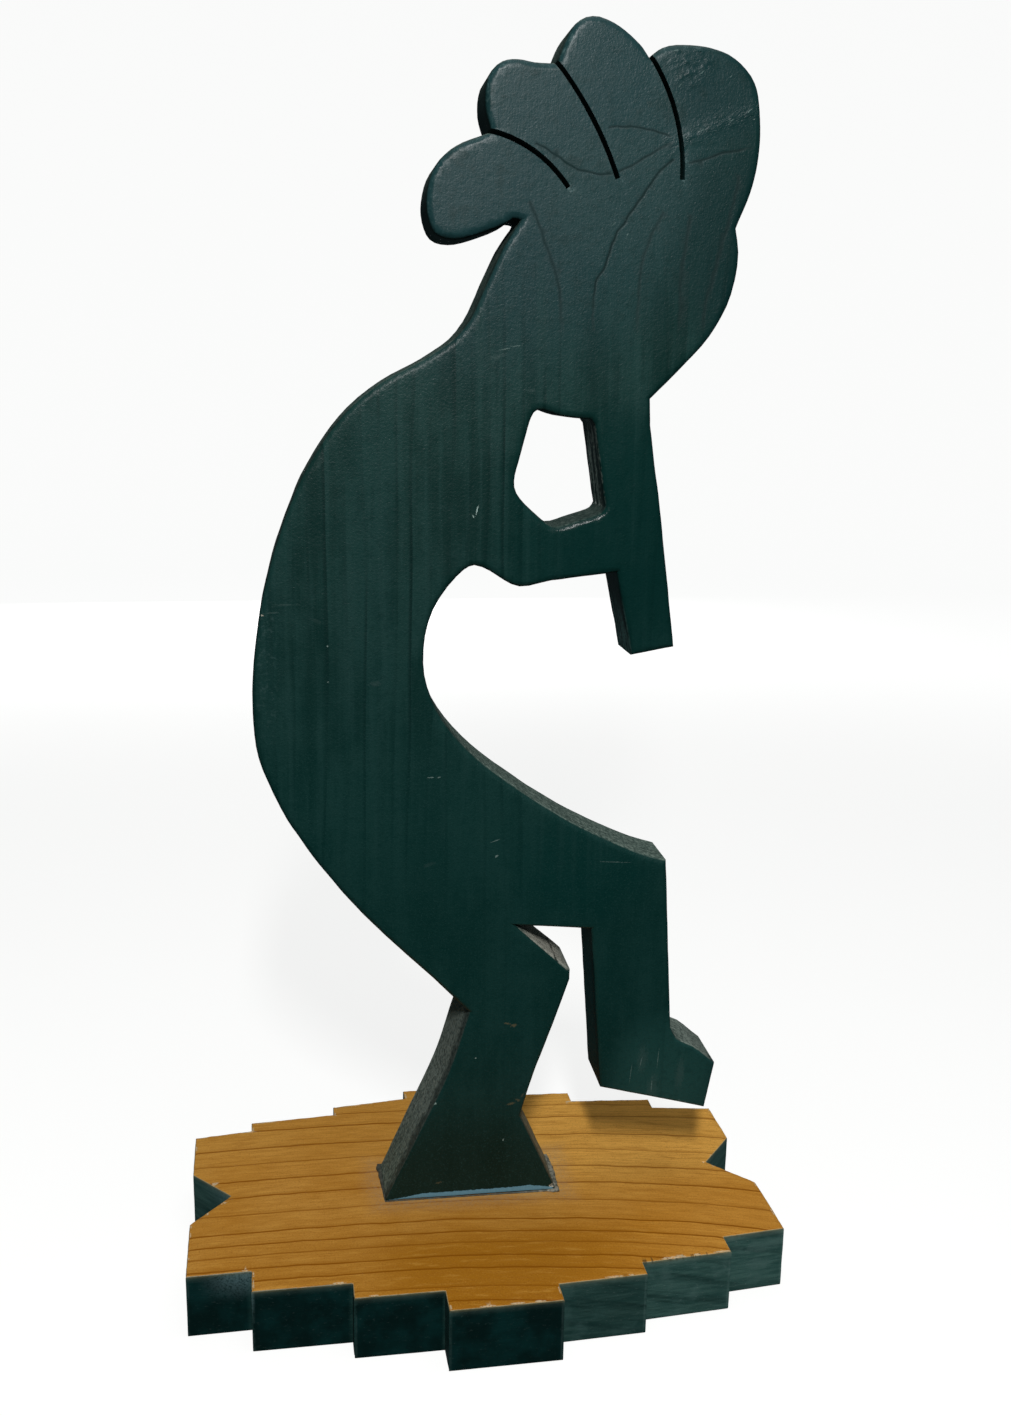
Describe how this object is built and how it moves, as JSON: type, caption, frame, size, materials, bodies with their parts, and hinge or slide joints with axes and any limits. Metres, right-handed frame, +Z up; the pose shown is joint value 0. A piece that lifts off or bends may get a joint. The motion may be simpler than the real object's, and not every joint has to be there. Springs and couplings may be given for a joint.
{
  "type": "carved kokopelli figurine",
  "caption": "Flat sawn flute-player figure in dark green paint, standing on one foot on a varnished wooden stand with stepped edges and notched ends.",
  "frame": {"origin": "centre of the stand's underside, on the table", "axes": "+Z up along the figure; +X the way the figure faces, along the stand's length; -Y the front of the figure, towards the viewer"},
  "size_m": [0.172, 0.119, 0.3499],
  "materials": {
    "painted_pine": "satin dark green paint brushed over sanded pine",
    "varnished_pine": "honey-coloured satin varnish on the top, dark green paint on the sawn edges"
  },
  "bodies": {
    "root": {"kokopelli_figure": "painted_pine", "stepped_stand": "varnished_pine"}
  },
  "joints": []
}
